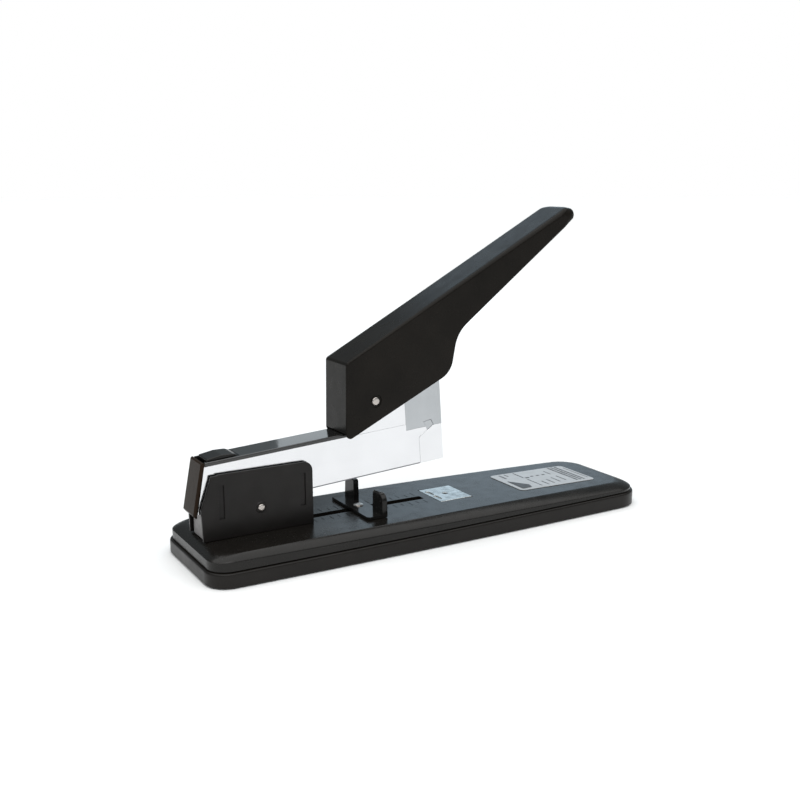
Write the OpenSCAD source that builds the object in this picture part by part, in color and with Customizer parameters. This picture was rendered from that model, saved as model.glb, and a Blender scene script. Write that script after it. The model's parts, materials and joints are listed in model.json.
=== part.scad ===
// Heavy-duty lever stapler for thick stacks of paper.
// Origin: middle of the base's underside. +X towards the paper side, +Z up, millimetres.
// The arm has its own frame at the hinge pin: u along the arm (X), v across it (Z).
// The handle has its own frame at its pivot: s along the handle (X), t across it (Z).

/* [Base] */
// Length of the base
base_l = 280; // [276:1:284]
// Mean width of the base at its ends
base_w = 74.6; // [73:0.2:76]
// How much the base narrows from its middle to its front
base_taper = 0.3; // [0:0.1:1]
// How far each long side bows out at its middle
base_bow = 1.8; // [0.5:0.1:2.5]
// Corner radius at the base's rear, in plan
rear_r = 12.5; // [12:0.5:16]
// Corner radius at the base's front, in plan
front_r = 17; // [14:0.5:18]
// Height of the tray's rim at the rear
rim_rear = 8.2; // [7.9:0.1:8.6]
// Height of the tray's rim at the front
rim_front = 9.1; // [8.8:0.1:9.3]
// Height of the cover's top at the rear
cover_rear = 16.5; // [16.3:0.1:16.6]
// Height of the cover's top at the front
cover_front = 13.65; // [13.4:0.05:13.8]
// How far the top swells above a straight line from rear to front
cover_crown = 1.33; // [1.1:0.01:1.4]
// Half width of the flat top at mid length
top_half = 31.6; // [30:0.1:33]

/* [Arm] */
// Place of the hinge pin along the base
hinge_x = -102.3; // [-103:0.1:-101.5]
// Height of the hinge pin
hinge_z = 30.6; // [30.4:0.1:31]
// Upward tilt of the arm at rest
arm_tilt = 3.75; // [3.5:0.05:4]
// Width of the arm
arm_w = 16.6; // [16.4:0.1:16.8]
// Distance from the hinge to the nose's front face
nose_u = 114.2; // [114:0.1:115]
// Turn that closes the arm on the anvil
close_angle = 11.5; // [10:0.5:11.5]

/* [Handle] */
// Slope of the handle's top at rest
handle_slope = 28.5; // [28:0.5:29]
// Width of the handle
handle_w = 25.4; // [25:0.1:25.8]
// Length of the handle in front of its pivot
handle_l = 168.6; // [160:0.2:172]
// Downward turn of the handle
press_angle = 26; // [24:0.5:26]

/* [Staples] */
// Outside width of a staple
crown_w = 13; // [12.6:0.1:13]
// Leg length of a staple
staple_leg = 13; // [8:1:13]
// Length of the loaded staple strip
strip_l = 45; // [20:1:50]

/* [Paper guide] */
// Place of the guide's rivet at rest
guide_x = -39.5; // [-42:0.5:-37]
// Height of the guide's uprights above the base's underside
guide_top = 30; // [26:0.5:31]

/* [Hidden] */
$fn = 40;
skip = 0.02;                       // small overlap that keeps unions and cuts clean

foot_h = 0.6;                      // tray's underside above the floor
half_l = base_l / 2;
end_half = base_w / 2;
cover_inset = 1.5;                 // cover's side inside the tray's side
top_end = half_l - 8.5;            // where the flat top ends
top_taper = 3.05;                  // narrowing of the flat top, rear to front, each way
top_bow = 1.95;
shoulder_rear = 13.4;              // top of the cover's upright side at the rear
shoulder_front = 10.8;             // and at the front
rim_gap = 0.35;                    // between the tray's rim and the cover
slot_half = 2.8;
slot_rear = -76;
slot_front = 2;

arm_half = arm_w / 2;
sheet = 1;                         // arm's steel sheet
liner = 0.6;                       // side wall of the inner channel
floor_v = 2.9;                     // arm's lower edge above the hinge pin
web_v = 26.9;                      // arm's top web
strip_v = 29;                      // top of the black strip
seam_v = 23.5;                     // seam between nose plate and head housing
head_u = 91;
flange_u = 99;
head_v = 60;
rail_v = 17.2;                     // top of the staple rail
rail_half = 5.6;
rod_v = 21.4;
pin_r = 1.9;
run_gap = 0.05;                    // radial running clearance of a pin
bracket_half = 10.8;
bracket_inner = 9.3;
pivot_u = 70.5;
pivot_v = 44.9;
pivot_r = 2.2;
handle_half = handle_w / 2;
handle_sheet = 1.2;
top_t = 27.5;                      // handle's top above its pivot
lever_r = 35.5;                    // pivot to drive pin
stroke = 2 * lever_r * sin(press_angle / 2);
drive_r = 1.9;
blade_u = nose_u - 2.4;
blade_t = 0.9;
strip_u = blade_u - 0.3;
wire = 0.65;
pusher_u = strip_u - strip_l - 0.3;
pusher_l = 15;
plug_u = -12;                      // front of the rear cap's plug
plug_top = web_v - sheet - 1.6;    // top of the plug and of the pusher
button_u = -17.5;
plate_z = 17;                      // underside of the paper guide
groove_x = hinge_x + (blade_u + blade_t / 2) * cos(close_angle - arm_tilt - 1.5) + 0.9;

// ---------- shared shapes ----------

function unit(v) = v / norm(v);

// Arc of radius r that rounds corner b between a and c.
function corner(a, b, c, r) = r == 0 ? [b] :
    let (p = unit(a - b), q = unit(c - b), half = acos(p * q) / 2, reach = r / tan(half),
        mid = b + unit(p + q) * r / sin(half), start = b + p * reach - mid, end = b + q * reach - mid)
    [for (i = [0:6]) mid + r * unit(start + (end - start) * i / 6)];

// Outline through points [x, y, corner radius].
function round_path(p) = let (n = len(p)) [for (i = [0:n - 1])
    let (a = p[(i + n - 1) % n], b = p[i], c = p[(i + 1) % n])
    each corner([a.x, a.y], [b.x, b.y], [c.x, c.y], b.z)];

// Height of the cover's top at x.
function top_z(x) = cover_rear + (cover_front - cover_rear) * (x + half_l) / base_l
    + cover_crown * (1 - pow(x / half_l, 2));

// Half width of the flat top at x, rounded off at both ends.
function top_y(x) = let (k = x / 132, r = 12, over = max(0, abs(x) - (top_end - r)))
    top_half - top_taper * k - top_bow * k * k - (r - sqrt(max(0, r * r - over * over)));

// Half width of the base's outline at x.
function side_y(x) = end_half + base_bow * (1 - pow(x / half_l, 2)) - base_taper * x / half_l;

// Quarter circle round c from the angle turn0.
function quarter(c, r, turn0) = [for (s = [0:9]) c + r * [cos(turn0 + s * 10), sin(turn0 + s * 10)]];

// Base outline, moved in by d.
function base_outline(d) = let (fx = half_l - front_r, fy = side_y(fx) - front_r, rx = rear_r - half_l,
        ry = side_y(rx) - rear_r, run = (fx - rx) / 8)
    [each quarter([fx, -fy], front_r - d, -90), each quarter([fx, fy], front_r - d, 0),
     for (s = [1:7]) let (x = fx - s * run) [x, side_y(x) - d],
     each quarter([rx, ry], rear_r - d, 90), each quarter([rx, -ry], rear_r - d, 180),
     for (s = [1:7]) let (x = rx + s * run) [x, d - side_y(x)]];

module base_slab(d, z0, z1) translate([0, 0, z0]) linear_extrude(z1 - z0) polygon(base_outline(d));

// Plate with an outline in XZ, from y0 to y1.
module side_slab(points, y0, y1)
    translate([0, y1, 0]) rotate([90, 0, 0]) linear_extrude(y1 - y0) polygon(points);

// The same plate on both sides.
module side_pair(points, y0, y1) for (s = [0, 1]) mirror([0, s, 0]) side_slab(points, y0, y1);

module box(x0, x1, y0, y1, z0, z1) translate([x0, y0, z0]) cube([x1 - x0, y1 - y0, z1 - z0]);

// Box symmetric in y.
module bar(x0, x1, half, z0, z1) box(x0, x1, -half, half, z0, z1);

// Cylinder along y at (x, z).
module cross_rod(x, z, r, y0, y1) translate([x, y1, z]) rotate([90, 0, 0]) cylinder(r = r, h = y1 - y0);

module cross_pin(x, z, r, half) cross_rod(x, z, r, -half, half);

module disc(x, y, r, z0, z1) translate([x, y, z0]) cylinder(r = r, h = z1 - z0);

// Crowned solid under the cover's top: moved in by d, lowered by drop, from gap above the rim up.
module crowned(d, drop, gap) hull() {
    intersection() {
        base_slab(cover_inset + d, 0, 20);
        side_slab([[-half_l, rim_rear + gap], [half_l, rim_front + gap], [half_l, shoulder_front - drop],
            [-half_l, shoulder_rear - drop]], -50, 50);
    }
    for (i = [-11:11]) let (x = i * (top_end - d) / 11, z = top_z(x) - drop)
        bar(x - 0.05, x + 0.05, top_y(x * top_end / (top_end - d)) - d, z - 0.1, z);
}

// Points of a helix along +Z that starts at the angle turn0.
function helix(radius, turns, length, turn0 = 0) = let (n = round(turns * 12))
    [for (i = [0:n]) let (a = turn0 + 360 * turns * i / n)
        [radius * cos(a), radius * sin(a), length * i / n]];

// Round wire along a path that never runs along Z.
module wire_along(path, wire_r) {
    sides = 6;
    n = len(path) - 1;
    points = [for (i = [0:n])
        let (along = unit(path[min(n, i + 1)] - path[max(0, i - 1)]), out = unit(cross(along, [0, 0, 1])),
            up = cross(out, along))
        for (j = [0:sides - 1]) let (b = 360 * j / sides) path[i] + wire_r * (cos(b) * out + sin(b) * up)];
    walls = [for (i = [0:n - 1]) for (j = [0:sides - 1]) let (k = (j + 1) % sides)
        each [[i * sides + j, (i + 1) * sides + j, (i + 1) * sides + k],
              [i * sides + j, (i + 1) * sides + k, i * sides + k]]];
    polyhedron(points, concat(walls, [[for (j = [0:sides - 1]) j]],
        [[for (j = [0:sides - 1]) n * sides + sides - 1 - j]]));
}

module coil(radius, wire_r, turns, length) wire_along(helix(radius, turns, length), wire_r);

module in_arm() translate([hinge_x, 0, hinge_z]) rotate([0, -arm_tilt, 0]) children();

module in_handle() in_arm() translate([pivot_u, 0, pivot_v])
    rotate([0, arm_tilt - handle_slope, 0]) children();

// ---------- base ----------

screw_spots = [for (x = [-104, 104], y = [-25, 25]) [x, y]];
foot_spots = [for (x = [-121, 121], y = [-24, 24]) [x, y]];

module base_tray() color("#2b2826") difference() {
    intersection() {
        base_slab(0, foot_h, 20);
        side_slab([[-150, foot_h], [150, foot_h], [150, rim_front + 0.03], [-150, rim_rear - 0.03]],
            -50, 50);
    }
    difference() {
        base_slab(2.4, 2.4, 20);
        for (x = [-98:28:98]) bar(x - 0.8, x + 0.8, 34, 2, 6.9);
        for (p = screw_spots) disc(p.x, p.y, 4, 2, 6.9);
    }
    for (p = screw_spots) disc(p.x, p.y, 1.7, 0, 20);
    for (p = screw_spots) disc(p.x, p.y, 3.2, 0, 2);
    for (p = foot_spots) disc(p.x, p.y, 6.5, 0, 1.6);
}

module rubber_feet() color("#1a1a1a") for (p = foot_spots) disc(p.x, p.y, 6.4, 0, 1.6);

module base_screws() color("#8d8f92") for (p = screw_spots) {
    disc(p.x, p.y, 1.6, 1.9, 9.6);
    difference() {
        disc(p.x, p.y, 2.9, 0.9, 2);
        translate([p.x, p.y, 0.8]) bar(-2.2, 2.2, 0.35, 0, 0.8);
        translate([p.x, p.y, 0.8]) bar(-0.35, 0.35, 2.2, 0, 0.8);
    }
}

module base_plate() color("#77797c") difference() {
    base_slab(7, 7, 9);
    for (p = screw_spots) disc(p.x, p.y, 1.7, 6, 10);
    for (x = bracket_rivet_x) disc(x, 0, 2.1, 6, 10);
    disc(anvil_x, 0, 1.65, 6, 10);
}

anvil_rear = 7.4;
anvil_front = 28.8;
anvil_x = 18.1;
anvil_half = 12.6;
anvil_z = top_z(anvil_x) + 0.15;
anvil_t = 1.6;
bracket_rivet_x = [-121, -84];

module base_cover() color("#1d2022") difference() {
    union() {
        crowned(0, 0, rim_gap);
        base_slab(3, 9, 9.6);
        difference() {
            base_slab(2.7, 6.8, 9.1);
            base_slab(4.4, 6, 10);
        }
    }
    difference() {
        crowned(2.4, 2.4, -1);
        for (p = screw_spots) disc(p.x, p.y, 3.4, 9.1, 20);
        bar(anvil_rear - 2, anvil_front + 2, anvil_half + 2, 9.1, 20);
        for (x = bracket_rivet_x) disc(x, 0, 5, 9.1, 20);
    }
    for (p = screw_spots) disc(p.x, p.y, 1.6, 8, 9.6);
    for (x = bracket_rivet_x) disc(x, 0, 2.1, 8, 20);
    bar(slot_rear, slot_front, slot_half, 8, 20);
    bar(anvil_rear, anvil_front, anvil_half, anvil_z - anvil_t, 20);
    disc(anvil_x, 0, 1.65, 8, 20);
    for (x = [-70:5:0]) for (s = [-1, 1]) scale_tick(x, s);
}

// One engraved line of the depth scale, every 5 mm.
module scale_tick(x, side)
    box(x - 0.3, x + 0.3, min(side * 4.5, side * 10.5), max(side * 4.5, side * 10.5), top_z(x) - 0.3, 20);

module anvil_plate() color("#c9ced2") difference() {
    bar(anvil_rear + 0.1, anvil_front - 0.1, anvil_half - 0.1, anvil_z - anvil_t, anvil_z);
    disc(anvil_x, 0, 1.65, 8, 20);
    for (s = [-1, 1]) hull() for (y = [2, 7]) disc(groove_x, s * y, 1.2, anvil_z - 0.55, 20, $fn = 24);
}

module anvil_rivet() color("#9a9da0") difference() {
    disc(anvil_x, 0, 1.65, 6.6, anvil_z - 0.3);
    disc(anvil_x, 0, 0.9, anvil_z - 2.5, 20);
}

label_rear = 61.5;
label_front = 118;
label_half = 17.3;

module instruction_label() color("#b9bcbd") intersection() {
    translate([0, 0, 10]) linear_extrude(10) polygon(round_path([[label_rear, -label_half, 3],
        [label_front, -label_half, 3], [label_front, label_half, 3], [label_rear, label_half, 3]]));
    side_slab([for (i = [0:12]) let (x = 58 + i * 5.2) [x, top_z(x) + 0.03],
        for (i = [12:-1:0]) let (x = 58 + i * 5.2) [x, top_z(x) + 0.28]], -20, 20);
}

// ---------- hinge bracket ----------

foot_z = 16.95;                    // underside of the bracket, on the cover's crown
stop_top = 31.1;
bracket_outline = round_path([[-134.2, foot_z, 0], [-135.1, 33.8, 3], [-130.1, 48.8, 2.5],
    [-129.7, 50.9, 1], [-126, 50.9, 0.6], [-125.2, 51.4, 0.6], [-72.3, 51.4, 5], [-72.3, foot_z, 0]]);
rib_depth = 0.8;

// Outline of one pressed-in rib, widened by d.
function rib_outline(x, d) = round_path([[x - 1.6 - d, 27.7 - d, 0.6 + d], [x + 1.6 + d, 27.7 - d, 0.6 + d],
    [x + 1.6 + d, 45.6 + d, 0.6 + d], [x - 1.6 - d, 45.6 + d, 0.6 + d]]);

module hinge_bracket() color("#232120") difference() {
    union() {
        side_pair(bracket_outline, bracket_inner, bracket_half);
        for (x = [-123.8, -78.2]) side_pair(rib_outline(x, 0.6), bracket_inner - 0.6, bracket_inner + skip);
        bar(-130, -72.3, bracket_inner + skip, foot_z, foot_z + 1.5);
        for (s = [0, 1]) mirror([0, s, 0])
            cross_rod(hinge_x, hinge_z, 2.8, bracket_half - skip, bracket_half + 0.35);
    }
    for (x = [-123.8, -78.2]) side_pair(rib_outline(x, 0), bracket_half - rib_depth, bracket_half + skip);
    cross_pin(hinge_x, hinge_z, pin_r, 20);
    for (x = bracket_rivet_x) disc(x, 0, 2.1, 0, 20);
}

module rest_stop() color("#6d6a68") difference() {
    bar(-133, -131.2, 7.2, foot_z, stop_top);
    for (s = [-1, 1]) translate([0, s * 7.2, stop_top]) rotate([45, 0, 0])
        cube([300, 1.4, 1.4], center = true);
}

module bracket_rivets() color("#9a9da0") for (x = bracket_rivet_x) {
    disc(x, 0, 2.1, 6.6, foot_z + 1.5);
    disc(x, 0, 3.6, foot_z + 1.5, foot_z + 2.6);
}

module hinge_pin() color("#b5aca6") {
    cross_pin(hinge_x, hinge_z, pin_r, bracket_half + 0.75);
    for (s = [0, 1]) mirror([0, s, 0]) translate([hinge_x, bracket_half + 0.75, hinge_z])
        rotate([-90, 0, 0]) cylinder(r1 = pin_r, r2 = pin_r - 0.45, h = 0.35);
}

module hinge_bush() color("#a58a52") difference() {
    cross_pin(hinge_x, hinge_z, 2.8, 6.4);
    cross_pin(hinge_x, hinge_z, pin_r, 10);
}

// Torsion spring round the hinge pin: one leg lifts the staple rail, the other stands on the bracket.
spring_r = 4.1;
spring_half = 3.5;
upper_leg = 22.5;
lower_leg = 15.6;
upper_turn = 40;
lower_turn = 330;

module lift_spring() color("#8b8f94") translate([hinge_x, -spring_half, hinge_z]) rotate([-90, 0, 0]) {
    turns = 5 + (lower_turn - upper_turn) / 360;
    start = spring_r * [cos(upper_turn), sin(upper_turn), 0];
    end = [spring_r * cos(lower_turn), spring_r * sin(lower_turn), 2 * spring_half];
    wire_along(concat([start + upper_leg * [sin(upper_turn), -cos(upper_turn), 0]],
        helix(spring_r, turns, 2 * spring_half, upper_turn),
        [end + lower_leg * [-sin(lower_turn), cos(lower_turn), 0]]), 0.5);
}

// ---------- paper guide ----------

guide_half = 22.5;
upright_inner = 11;
guide_rear = guide_x - 6;
guide_front = guide_x + 6.2;
upright_t = 3.2;

module guide_plate() color("#17191b") difference() {
    union() {
        translate([0, 0, plate_z]) linear_extrude(1.5) polygon(round_path([[guide_rear, -guide_half, 2],
            [guide_front, -guide_half, 0], [guide_front, guide_half, 0], [guide_rear, guide_half, 2]]));
        for (s = [0, 1]) mirror([0, s, 0]) translate([guide_front - upright_t, 0, 0])
            rotate([90, 0, 90]) linear_extrude(upright_t) polygon(round_path([
                [upright_inner, plate_z, 0], [guide_half, plate_z, 0], [guide_half, guide_top, 4.5],
                [upright_inner, guide_top, 1.5]]));
    }
    disc(guide_x, 0, 2, 10, 20);
}

module guide_rivet() color("#b9b4ae") {
    disc(guide_x, 0, 2, 12.4, plate_z + 1.6);
    translate([guide_x, 0, plate_z + 1.5]) cylinder(r1 = 2.75, r2 = 2, h = 0.9);
}

module guide_washer() color("#8d8f92") difference() {
    disc(guide_x, 0, 5.5, 12.6, 13.7);
    disc(guide_x, 0, 2, 10, 20);
}

// ---------- arm ----------

rear_low = -33.4;                  // arm's slanted rear edge, at floor_v
rear_high = -27.4;                 // and at web_v

module button_hole() disc(button_u, 0, 2.15, 20, 40);

// Opening with a bent tongue, where the head housing locks to the nose plate.
module lock_window()
    side_slab([[102.4, 26.6], [107.4, 27], [109, 23.7], [104.6, 21.2]], -arm_half - skip, arm_half + skip);

module arm_channel() color("#e4e6e8") in_arm() difference() {
    side_slab([[rear_low, floor_v], [flange_u - 0.1, floor_v], [flange_u - 0.1, 18.1],
        [107.6, seam_v - 0.1], [head_u, seam_v - 0.1], [head_u, web_v], [rear_high, web_v]],
        -arm_half, arm_half);
    bar(-50, 120, arm_half - sheet, -5, web_v - sheet);
    button_hole();
    lock_window();
}

inner_half = arm_half - sheet - 0.05;

module inner_channel() color("#b4b8bb") in_arm() difference() {
    union() {
        bar(-24, 112.9, inner_half, 3, web_v - sheet - 0.1);
        for (s = [0, 1]) mirror([0, s, 0]) {
            side_slab([[-6, 0], [6, 0], [9, 3.5], [-9, 3.5]], inner_half - liner, inner_half);
            cross_rod(0, 0, 6, inner_half - liner, inner_half);
        }
    }
    bar(-50, 120, inner_half - liner, -10, web_v - sheet - 1);
    bar(blade_u - 0.9, 120, inner_half - liner, -10, 40);
    cross_pin(0, 0, pin_r + run_gap, 20);
    button_hole();
}

module top_strip() color("#20262a") in_arm() difference() {
    side_slab(round_path([[rear_high, web_v, 0], [56, web_v, 0], [56, strip_v, 0.8],
        [rear_high + 0.6, strip_v, 0]]), -arm_half, arm_half);
    bar(-40, button_u + 10, 6.8, 20, 40);
}

module nose_plate() color("#eceeef") in_arm() difference() {
    side_slab([[flange_u, floor_v], [nose_u, floor_v], [nose_u, seam_v], [108, seam_v], [flange_u, 18]],
        -arm_half, arm_half);
    bar(90, nose_u - 1.2, arm_half - sheet, 0, 40);
    lock_window();
}

module head_housing() color("#cfd3d6") in_arm() difference() {
    side_slab(round_path([[head_u, seam_v, 0], [nose_u, seam_v, 0], [nose_u, head_v, 1.5],
        [head_u, head_v, 8]]), -arm_half, arm_half);
    bar(80, nose_u - 1.2, arm_half - sheet, 0, 80);
    lock_window();
}

module magazine_rail() color("#9fa3a6") in_arm() difference() {
    union() {
        bar(-24, strip_u - 0.9, rail_half, 3, rail_v);
        bar(-24, 107, inner_half - liner - 0.05, 3, 4);
    }
    bar(-50, 120, rail_half - 1, -10, rail_v - 1);
}

module staple_strip() color("#b98f5a") in_arm() difference() {
    bar(strip_u - strip_l, strip_u, crown_w / 2, rail_v + wire - staple_leg, rail_v + wire);
    bar(0, 120, crown_w / 2 - wire, -10, rail_v + 0.01);
}

module pivot_yoke() color("#e4e6e8") in_arm() difference() {
    side_slab(round_path([[57, web_v, 0], [head_u, web_v, 0], [head_u, 46, 3], [82, 53, 5], [64, 53, 6],
        [57, 40, 3]]), -arm_half, arm_half);
    bar(50, 100, arm_half - sheet, web_v + 1.2, 80);
    cross_pin(pivot_u, pivot_v, pivot_r, 20);
    for (u = [62, 84]) disc(u, 0, 1.8, 20, 40);
}

module yoke_rivets() color("#a8abae") in_arm() for (u = [62, 84]) {
    disc(u, 0, 1.8, web_v, web_v + 1.2);
    disc(u, 0, 3, web_v + 1.2, web_v + 2.2);
}

module handle_pin() color("#b5aca6") in_arm() {
    cross_pin(pivot_u, pivot_v, pivot_r, handle_half + 0.3);
    for (s = [0, 1]) mirror([0, s, 0]) translate([pivot_u, handle_half + 0.3, pivot_v])
        rotate([-90, 0, 0]) cylinder(r1 = pivot_r, r2 = pivot_r - 0.6, h = 0.4);
}

module pivot_spacers() color("#a58a52") in_arm() difference() {
    for (s = [0, 1]) mirror([0, s, 0]) cross_rod(pivot_u, pivot_v, 4, 3.3, arm_half - sheet);
    cross_pin(pivot_u, pivot_v, pivot_r, 20);
}

// ---------- driver ----------

drive_u = pivot_u + lever_r * cos(press_angle / 2);
drive_v = pivot_v + lever_r * sin(press_angle / 2);
blade_low = floor_v + stroke;

module driver_blade() color("#a9adb1") in_arm()
    bar(blade_u, blade_u + blade_t, 6.4, blade_low, drive_v + 4.5);

module driver_block() color("#6f7377") in_arm() difference() {
    bar(drive_u - 2.6, blade_u, 7.1, drive_v - 6.4, drive_v + 4.5);
    bar(0, blade_u - 1, 3.3, drive_v - 4.9, 80);
    bar(0, pivot_u + lever_r + 0.1, 10, drive_v - drive_r - 0.3, drive_v + drive_r + 0.3);
    cross_pin(pivot_u + lever_r + 0.1, drive_v, drive_r + 0.3, 10);
    for (s = [-1, 1]) translate([0, s * 5.2, drive_v - 4.6]) rotate([0, 90, 0]) cylinder(r = 1, h = 200);
}

module driver_rivets() color("#c5c8ca") in_arm() for (s = [-1, 1])
    translate([drive_u - 2.6, s * 5.2, drive_v - 4.6]) rotate([0, 90, 0])
        cylinder(r = 1, h = blade_u - drive_u + 2.6);

module return_spring() color("#8b8f94") in_arm() translate([drive_u + 0.8, 0, web_v - sheet + 0.3])
    coil(2.6, 0.4, 4, drive_v - 6.4 - web_v + sheet - 0.7);

// ---------- magazine pull-out ----------

module rear_cap() color("#1c1a19") in_arm() difference() {
    union() {
        side_slab(round_path([[rear_low - 0.1, floor_v, 0], [rear_high - 0.1, web_v, 0],
            [rear_high + 0.4, strip_v, 0.4], [-28.8, strip_v, 0.8], [-35.7, 2.6, 0.8], [-34.6, 0.8, 0.4],
            [-33.7, 0.8, 0.2]]), -arm_half, arm_half);
        side_slab([[-31.3, 18.2], [plug_u, 18.2], [plug_u, plug_top], [-29.6, plug_top]],
            -6.5, 6.5);
    }
    translate([-26, 0, rod_v]) rotate([0, 90, 0]) cylinder(r = 1.5, h = 40);
}

module guide_rod() color("#b7bbbe") in_arm() translate([-26, 0, rod_v]) rotate([0, 90, 0])
    cylinder(r = 1.5, h = 132);

module pusher() color("#3a3d40") in_arm() difference() {
    bar(pusher_u - pusher_l, pusher_u, 6.5, 4.6, plug_top);
    bar(-50, 120, rail_half + 0.3, 0, rail_v + 0.3);
    translate([0, 0, rod_v]) rotate([0, 90, 0]) cylinder(r = 1.5 + run_gap, h = 120);
}

module pusher_spring() color("#8b8f94") in_arm() translate([plug_u + 0.4, 0, rod_v]) rotate([0, 90, 0])
    coil(2.3, 0.3, 20, pusher_u - pusher_l - plug_u - 0.8);

module release_button() color("#17181a") in_arm() difference() {
    union() {
        side_slab(round_path([[-25.2, 28.6, 0], [-8.2, 28.6, 0], [-8.2, 29.3, 0.5], [-11, 30.5, 3],
            [-17, 31, 7], [-25.2, 30.1, 0.8]]), -6.4, 6.4);
        disc(button_u, 0, 1.8, web_v - 0.8, 29.5);
    }
    difference() {
        disc(button_u, 0, 3.2, 28, 30.1);
        disc(button_u, 0, 1.8, 20, 40);
    }
}

module button_spring() color("#8b8f94") in_arm() translate([button_u, 0, web_v + 0.3])
    coil(2.6, 0.25, 3, 2.6);

// ---------- handle ----------

under_t = 4.3;                     // underside of the grip at its rear
tip_t = 19.5;                      // and at its tip
deep = -50;                        // below the handle, for an open underside

// Outline of the handle's sides.
handle_outline = round_path([[-25.6, -9.6, 2.5], [-4.9, top_t, 2.2], [handle_l - 7, top_t, 6],
    [handle_l - 1, top_t - 3.5, 3], [handle_l - 1.2, tip_t, 3], [handle_l - 12, tip_t - 1.6, 10],
    [62.2, under_t, 20], [47.9, -13.2, 13]]);

// Outline of the space inside: the rear wall stops just above the arm's black strip.
handle_space = round_path([[-40, deep, 0], [-40, 1.5, 0], [-22.4, -6.6, 0], [-4, top_t - handle_sheet, 1.4],
    [handle_l - 5.5, top_t - handle_sheet, 2], [handle_l - 5.5, deep, 0]]);

module handle_shell() color("#1b1a19") in_handle() difference() {
    union() {
        difference() {
            side_slab(handle_outline, -handle_half, handle_half);
            side_slab(handle_space, handle_sheet - handle_half, handle_half - handle_sheet);
        }
        for (s = [0, 1]) mirror([0, s, 0])
            cross_rod(0, 0, 4.6, arm_half + 0.15, handle_half - handle_sheet + skip);
    }
    cross_pin(0, 0, pivot_r + run_gap, 20);
    for (s = [0, 1]) mirror([0, s, 0]) cross_rod(0, 0, 3.7, handle_half - 0.5, 20);
}

module handle_lever() color("#7f8387") in_handle() difference() {
    side_slab(round_path([[-6.5, -6.5, 6], [37.7, -11, 2.8], [37.7, -3.9, 2.8], [22, 6, 5],
        [22, top_t - handle_sheet, 0], [-2, top_t - handle_sheet, 0], [-6.5, 6, 5]]), -3, 3);
    cross_pin(0, 0, pivot_r + run_gap, 10);
    cross_pin(pin_s, pin_t, drive_r, 10);
    for (s = [4, 16]) disc(s, 0, 1.5, top_t - 8, top_t);
}

drive_turn = press_angle / 2 + arm_tilt - handle_slope;
pin_s = lever_r * cos(drive_turn);
pin_t = lever_r * sin(drive_turn);

module lever_rivets() color("#a8abae") in_handle() for (s = [4, 16])
    disc(s, 0, 1.5, top_t - 8, top_t - handle_sheet);

module drive_pin() color("#c5c8ca") in_handle() cross_pin(pin_s, pin_t, drive_r, 7);

base_tray();
base_cover();
base_plate();
rubber_feet();
base_screws();
anvil_plate();
anvil_rivet();
instruction_label();
hinge_bracket();
rest_stop();
bracket_rivets();
hinge_pin();
hinge_bush();
lift_spring();
guide_plate();
guide_rivet();
guide_washer();
arm_channel();
inner_channel();
top_strip();
nose_plate();
head_housing();
magazine_rail();
staple_strip();
pivot_yoke();
yoke_rivets();
handle_pin();
pivot_spacers();
driver_blade();
driver_block();
driver_rivets();
return_spring();
rear_cap();
guide_rod();
pusher();
pusher_spring();
release_button();
button_spring();
handle_shell();
handle_lever();
lever_rivets();
drive_pin();
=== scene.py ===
"""Looks of the heavy-duty lever stapler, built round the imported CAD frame.

Lengths inside the script are millimetres. Three frames place them in the row's metres:
ROW is the row's own frame, ARM has u along the arm and v across it with its origin at the hinge pin,
and HANDLE has s along the handle and t across it with its origin at the handle's pivot.
"""
import json
import math
import random

import bmesh
import bpy
from mathutils import Matrix, Vector


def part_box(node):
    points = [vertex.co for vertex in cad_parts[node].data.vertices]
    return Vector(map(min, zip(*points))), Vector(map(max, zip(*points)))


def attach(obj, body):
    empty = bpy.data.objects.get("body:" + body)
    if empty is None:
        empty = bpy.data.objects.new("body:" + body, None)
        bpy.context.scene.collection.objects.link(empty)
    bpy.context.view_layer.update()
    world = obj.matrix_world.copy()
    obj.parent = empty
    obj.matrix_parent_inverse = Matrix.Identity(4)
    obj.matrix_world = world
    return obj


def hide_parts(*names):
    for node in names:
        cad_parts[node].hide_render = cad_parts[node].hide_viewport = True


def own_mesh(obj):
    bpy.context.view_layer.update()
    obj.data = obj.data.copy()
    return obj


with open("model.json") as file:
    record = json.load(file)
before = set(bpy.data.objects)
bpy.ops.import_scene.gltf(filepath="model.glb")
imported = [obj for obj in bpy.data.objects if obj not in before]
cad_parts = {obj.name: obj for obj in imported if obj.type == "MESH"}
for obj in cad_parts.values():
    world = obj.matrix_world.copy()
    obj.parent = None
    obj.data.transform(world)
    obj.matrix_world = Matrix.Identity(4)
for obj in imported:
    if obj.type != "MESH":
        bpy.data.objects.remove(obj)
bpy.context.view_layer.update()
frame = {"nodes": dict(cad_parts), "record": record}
MM = 0.001

# ---------------------------------------------------------------- frames and driving sizes

JOINTS = {joint["name"]: joint for joint in frame["record"]["behaviour"]["joints"]}


def frame_at(origin, x_axis, z_axis):
    """Matrix from millimetres in a local frame to metres in the row's frame."""
    x_axis = Vector(x_axis).normalized()
    z_axis = Vector(z_axis).normalized()
    turn = Matrix((x_axis, z_axis.cross(x_axis), z_axis)).transposed().to_4x4()
    turn.translation = Vector(origin)
    return turn @ Matrix.Scale(MM, 4)


def size_of(node):
    """Lowest and highest corner of a CAD node, in millimetres."""
    low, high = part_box(node)
    return Vector(low) / MM, Vector(high) / MM


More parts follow.
